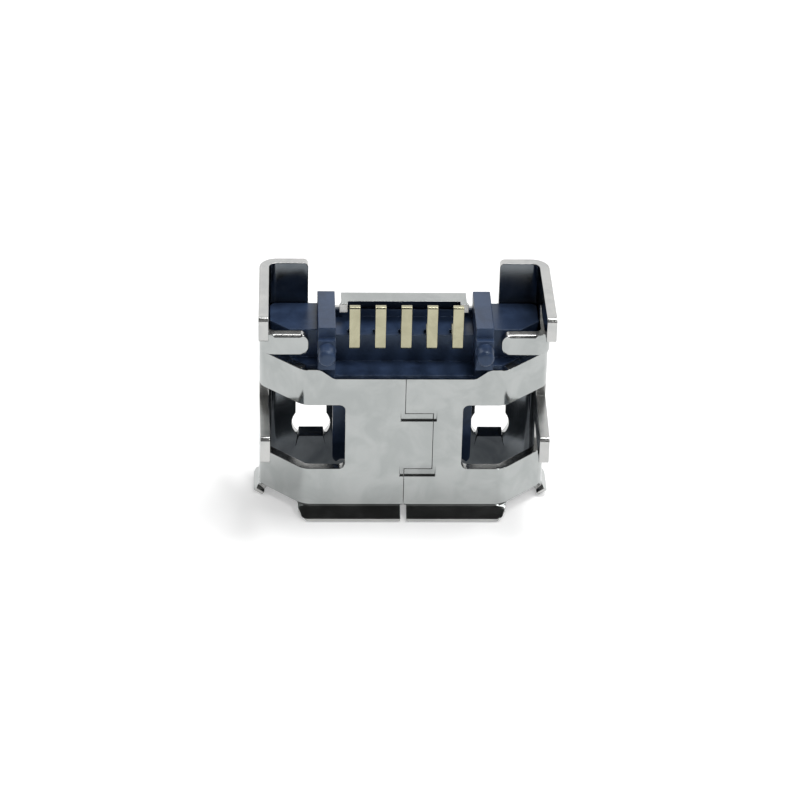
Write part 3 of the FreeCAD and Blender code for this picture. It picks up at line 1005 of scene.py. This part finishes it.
@dataclass
class Contact:
    """One bent strip: blade on the tongue, riser towards the board and solder foot."""

    width: float = 0.27
    thickness: float = 0.15
    foot_y: float = -1.225
    blade_y: float = -0.045
    foot_end: float = 6.217
    riser_z: float = 4.957
    blade_end: float = 1.247
    bend: float = 0.04
    riser_share: float = 0.75
    foot_round: float = 0.05
    edge_round: float = 0.012

    def build(self, number: int, x: float, gold: Material) -> None:
        """Make the contact at x.

        Args:
            number: the contact's number, from the left.
            x: its middle across the mouth.
            gold: its finish.
        """
        half = self.width / 2
        bench = Bench.box(f"contact_strip_{number}", (x - half, self.blade_y, self.blade_end),
                          (x + half, self.blade_y + self.thickness, self.riser_z))
        bench.remove(lambda m, n: n.y > -ALONG)
        bench.pick(Pick.EDGES, lambda m, d: near(m.z, self.riser_z))
        bench.extrude((0, self.foot_y - self.blade_y, 0))
        bench.extrude((0, 0, self.foot_end - self.riser_z))
        bench.face_out()
        blade = (self.bend, 6, self.blade_y)
        foot = (self.bend + self.thickness, 8, self.foot_y)
        for trim, steps, y in (blade, foot):
            bench.bevel(trim, steps, lambda m, d: at(m, y, self.riser_z))
        bench.pick(Pick.VERTS, lambda m, n: m.y > self.foot_y + 0.25 and m.z > self.riser_z - 0.1)
        bench.scale((self.riser_share, 1, 1), (x, 0, 0))
        bench.paint(gold)
        bench.thicken(self.thickness)
        bench.bevel(self.foot_round, 4, lambda m, d: abs(d.x) > ALONG
                    and at(m, self.foot_y, self.foot_end))
        bench.soften(self.edge_round)
        bench.finish(f"contact_{number}", "contact_metal")


@dataclass
class Studio:
    """Pale table, a white backdrop, a soft lamp overhead and two small ones for highlights."""

    floor_half: float = 0.9
    floor_drop: float = 0.000004
    floor_glow: float = 0.34
    even_light: float = 0.27
    dusk: float = 0.025
    lamp_distance: float = 0.5

    def floor(self) -> None:
        """Lay the pale table that the mouth stands on."""
        deselect_all()
        place = (0, 0, -self.floor_drop)
        bpy.ops.mesh.primitive_plane_add(size=2 * self.floor_half, location=place)
        floor = bpy.context.object
        floor.name = "floor"
        material = bpy.data.materials.new("table")
        material.use_nodes = True
        shader = Shader(material.node_tree)
        path = shader.add("LightPath").outputs
        seen = path["Is Camera Ray"]
        for ray in ("Is Glossy Ray", "Is Transmission Ray"):
            seen = shader.add("Math", {0: seen, 1: path[ray]}, operation="MAXIMUM").outputs[0]
        glow = shader.add("Math", {0: seen, 1: self.floor_glow}, operation="MULTIPLY")
        matt = shader.add("BsdfDiffuse", {"Color": (0.92, 0.92, 0.92, 1.0)})
        lit = shader.add("Emission", {"Color": (1, 1, 1, 1), "Strength": glow.outputs[0]})
        both = shader.add("AddShader", {0: matt.outputs[0], 1: lit.outputs[0]})
        shader.add("OutputMaterial", {"Surface": both.outputs[0]})
        floor.data.materials.append(material)

    def sky(self) -> None:
        """Fill the world: even light, but reflections see white only behind the socket."""
        world = bpy.data.worlds.new("tent")
        bpy.context.scene.world = world
        world.use_nodes = True
        shader = Shader(world.node_tree)
        way = shader.add("TexCoord").outputs["Generated"]
        part = shader.add("SeparateXYZ", {0: way}).outputs
        fall = shader.add("MapRange", {
            "Value": part["Z"], "From Min": 0.62, "From Max": 0.86, "To Min": 1.15, "To Max": 0.03,
        }, interpolation_type="SMOOTHSTEP")
        back = shader.add("MapRange", {
            "Value": part["Y"], "From Min": -0.30, "From Max": 0.15, "To Min": 0.12, "To Max": 1.0,
        }, interpolation_type="SMOOTHSTEP")
        both = shader.add("Math", {
            0: fall.outputs["Result"], 1: back.outputs["Result"], 2: self.dusk,
        }, operation="MULTIPLY_ADD")
        tent = shader.add("Background", {"Color": (1, 1, 1, 1), "Strength": both.outputs[0]})
        path = shader.add("LightPath").outputs
        level = shader.add("MapRange", {
            "Value": path["Is Camera Ray"], "To Min": self.even_light, "To Max": 1.0,
        })
        plain = shader.add("Background", {
            "Color": (1, 1, 1, 1), "Strength": level.outputs["Result"],
        })
        even = shader.add("Math", {
            0: path["Is Camera Ray"], 1: path["Is Diffuse Ray"],
        }, operation="MAXIMUM")
        mix = shader.add("MixShader", {
            0: even.outputs[0], 1: tent.outputs[0], 2: plain.outputs[0],
        })
        shader.add("OutputWorld", {"Surface": mix.outputs[0]})

    def lamp(self, name: str, azimuth: float, elevation: float, size: float, power: float) -> None:
        """Hang one square lamp half a metre from the socket, facing it.

        Args:
            name: name of the lamp.
            azimuth: direction round the socket in degrees, 0 at the camera, to the right.
            elevation: height above the table in degrees.
            size: side of the lamp in metres.
            power: power in watts.
        """
        turn, rise = math.radians(azimuth), math.radians(elevation)
        way = Vector((math.sin(turn), -math.cos(turn), 0)) * math.cos(rise)
        way.z = math.sin(rise)
        data = bpy.data.lights.new(name, "AREA")
        data.size = size
        data.energy = power
        lamp = bpy.data.objects.new(name, data)
        facing = way.to_track_quat("Z", "Y").to_matrix().to_4x4()
        lamp.matrix_world = Matrix.Translation(way * self.lamp_distance) @ facing
        bpy.context.scene.collection.objects.link(lamp)

    def build(self) -> None:
        """Set up the table, the sky and the lamps."""
        self.floor()
        self.sky()
        self.lamp("top_lamp", 126, 73, 0.22, 1.45)
        self.lamp("side_lamp", 85, 52, 0.16, 0.22)
        self.lamp("spark_lamp", 25, 44, 0.07, 0.40)
        log.info("studio: table, sky and three lamps")


@dataclass(frozen=True)
class PhotoCamera:
    """Camera at the photograph's angle: 85 mm away, looking down on the board side."""

    azimuth: float = 2.5552
    elevation: float = 30.9936
    roll: float = 1.4437
    distance: float = 85.0
    aim: Triple = (0.0, -0.3, 3.0)
    slide: Pair = (-0.0797, -0.0190)
    field_width: float = 20.5874

    def build(self) -> None:
        """Place the camera and make it the scene's."""
        turn, dip, lean = (math.radians(a) for a in (self.azimuth, self.elevation, self.roll))
        level = Vector((math.sin(turn), math.cos(turn), 0))
        ahead = level * math.cos(dip) - Vector((0, 0, math.sin(dip)))
        right = Vector((math.cos(turn), -math.sin(turn), 0))
        above = right.cross(ahead)
        leant_right = right * math.cos(lean) + above * math.sin(lean)
        leant_up = above * math.cos(lean) - right * math.sin(lean)
        target = Vector(self.aim) + leant_right * self.slide[0] + leant_up * self.slide[1]
        place = (target - ahead * self.distance) * MM
        data = bpy.data.cameras.new("photo_camera")
        data.sensor_width = 36.0
        data.lens = data.sensor_width * self.distance / self.field_width
        data.clip_start = 0.01
        data.clip_end = 20.0
        camera = bpy.data.objects.new("photo_camera", data)
        axes = Matrix((leant_right, leant_up, -ahead)).transposed()
        camera.matrix_world = Matrix.Translation(place) @ axes.to_4x4()
        bpy.context.scene.collection.objects.link(camera)
        bpy.context.scene.camera = camera
        log.info("camera: lens %.1f mm", data.lens)


def main() -> None:
    """Build the scene in order: camera, studio, then the socket's pieces."""
    logging.basicConfig(level=logging.INFO, format="%(name)s: %(message)s")
    bpy.context.scene.view_settings.view_transform = "Standard"
    PhotoCamera().build()
    Studio().build()
    cloud = surface_cloud()
    finishes = (NICKEL, SHEARED, NICKEL_WITH_PAINTED_SHADE, PLASTIC, GOLD)
    nickel, sheared, inner, plastic, gold = (finish.material(cloud) for finish in finishes)
    places = [CONTACT_PITCH * (number - CONTACTS // 2) for number in range(CONTACTS)]
    Shell().build(nickel, sheared, inner)
    Insulator().build(plastic, places)
    for number, place in enumerate(places, start=1):
        Contact().build(number, place, gold)


if __name__ == "__main__":
    main()
